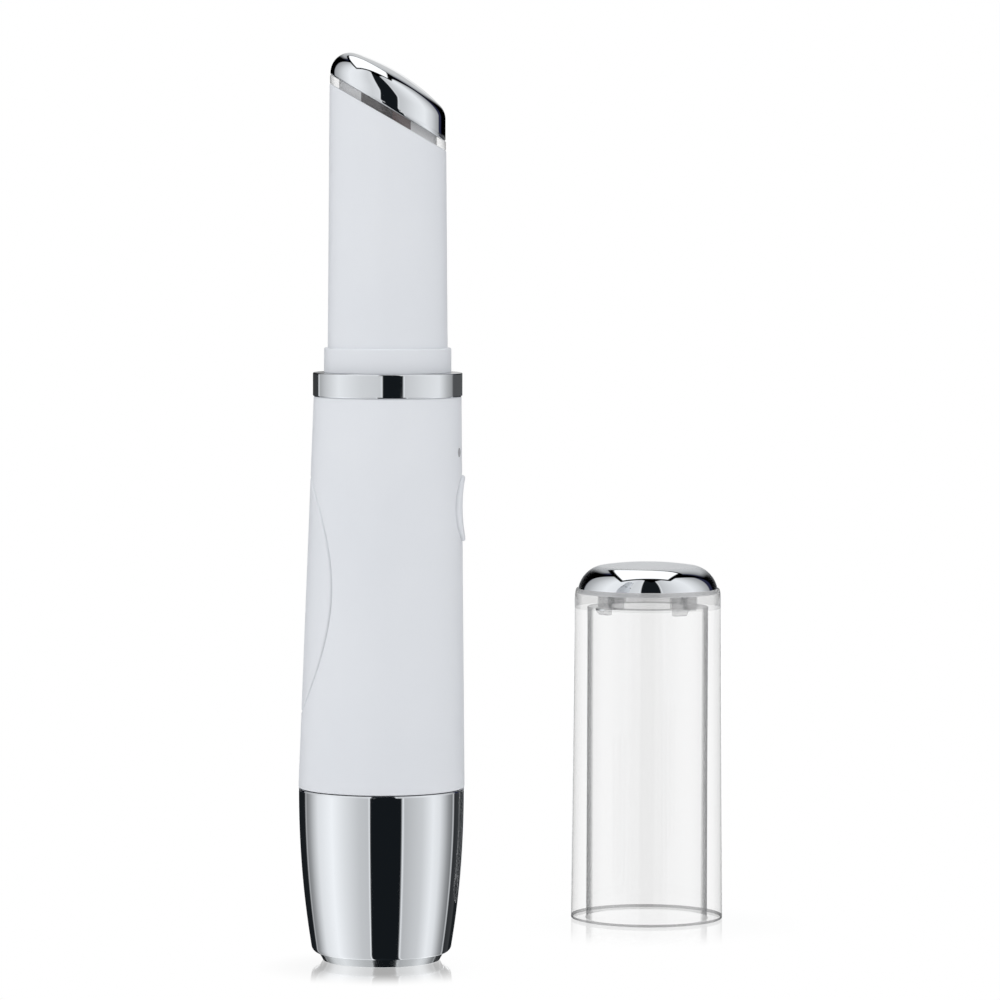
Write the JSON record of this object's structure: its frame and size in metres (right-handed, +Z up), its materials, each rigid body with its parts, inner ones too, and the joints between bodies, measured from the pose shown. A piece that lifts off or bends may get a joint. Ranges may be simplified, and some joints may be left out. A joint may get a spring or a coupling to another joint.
{
  "type": "heated eye massager wand",
  "caption": "Slim heated vibrating eye massager wand on a turn-off battery cap, slanted metal head, oval button, clear cap standing beside it.",
  "frame": {"origin": "centre of the flat foot that the wand stands on", "axes": "+Z up along the wand, +X to the front, where the button is; the clear cap stands behind and to the front, at +X +Y"},
  "size_m": [0.0638, 0.0688, 0.1319],
  "materials": {
    "white_plastic": "satin",
    "neck_plastic": "satin",
    "chrome": "polished",
    "satin_metal": "satin",
    "clear_plastic": "polished",
    "cap_clear": "polished",
    "black_plastic": "matte",
    "grey_plastic": "matte",
    "rubber": "matte",
    "cell_sleeve": "gloss",
    "spring_steel": "bright",
    "motor_steel": "satin",
    "brass": "satin",
    "board": "solder mask",
    "led": "gloss",
    "heater_film": "amber film",
    "wire": "insulation"
  },
  "bodies": {
    "root": {"battery_tube": "grey_plastic", "spigot_seal": "rubber", "battery_cell": "cell_sleeve", "negative_strip": "spring_steel", "positive_contact": "spring_steel", "board_carrier": "grey_plastic", "circuit_board": "board", "tact_switch": "black_plastic", "indicator_leds": "led", "light_guide": "clear_plastic", "handle_shell": "white_plastic", "back_inlay": "white_plastic", "trim_ring": "chrome", "neck_shell": "neck_plastic", "motor_cradle": "grey_plastic", "vibration_motor": "motor_steel", "massage_head": "chrome", "head_spacer": "clear_plastic", "head_carrier": "black_plastic", "heater_plate": "heater_film", "thermistor": "black_plastic", "head_screws": "motor_steel", "heater_leads": "wire", "motor_leads": "wire"},
    "power_button": {"power_button": "white_plastic"},
    "switch_plunger": {"switch_plunger": "black_plastic"},
    "motor_rotor": {"motor_shaft": "motor_steel", "eccentric_weight": "brass"},
    "contact_plate": {"contact_spring": "spring_steel"},
    "battery_cap": {"base_shell": "chrome", "base_insert": "black_plastic", "base_foot": "satin_metal"},
    "clear_cap": {"cap_sleeve": "cap_clear", "cap_top": "chrome"}
  },
  "joints": [
    {"name": "power_button_press", "type": "slide", "parent": "root", "child": "power_button", "axis": [-1, 0, 0], "range_m": [0, 0.0005], "stiffness_N_per_m": 400},
    {"name": "switch_plunger_press", "type": "slide", "parent": "root", "child": "switch_plunger", "axis": [-1, 0, 0], "range_m": [0, 0.0005]},
    {"name": "motor_spin", "type": "hinge", "parent": "root", "child": "motor_rotor", "pos_m": [0.00082, 0, 0.105], "axis": [0, 0, 1], "continuous": true},
    {"name": "base_cap_drop", "type": "slide", "parent": "root", "child": "contact_plate", "axis": [0, 0, -1], "range_m": [0, 0.0021]},
    {"name": "base_cap_turn", "type": "hinge", "parent": "contact_plate", "child": "battery_cap", "pos_m": [0, 0, 0.02], "axis": [0, 0, -1], "range_deg": [0, 60]},
    {"name": "cap_lift", "type": "slide", "parent": "root", "child": "clear_cap", "axis": [0, 0, 1], "range_m": [0, 0.05]}
  ],
  "couplings": [
    {"joint": "switch_plunger_press", "follows": "power_button_press", "ratio": 1},
    {"joint": "base_cap_drop", "follows": "base_cap_turn", "m_per_rad": 0.0019099}
  ]
}
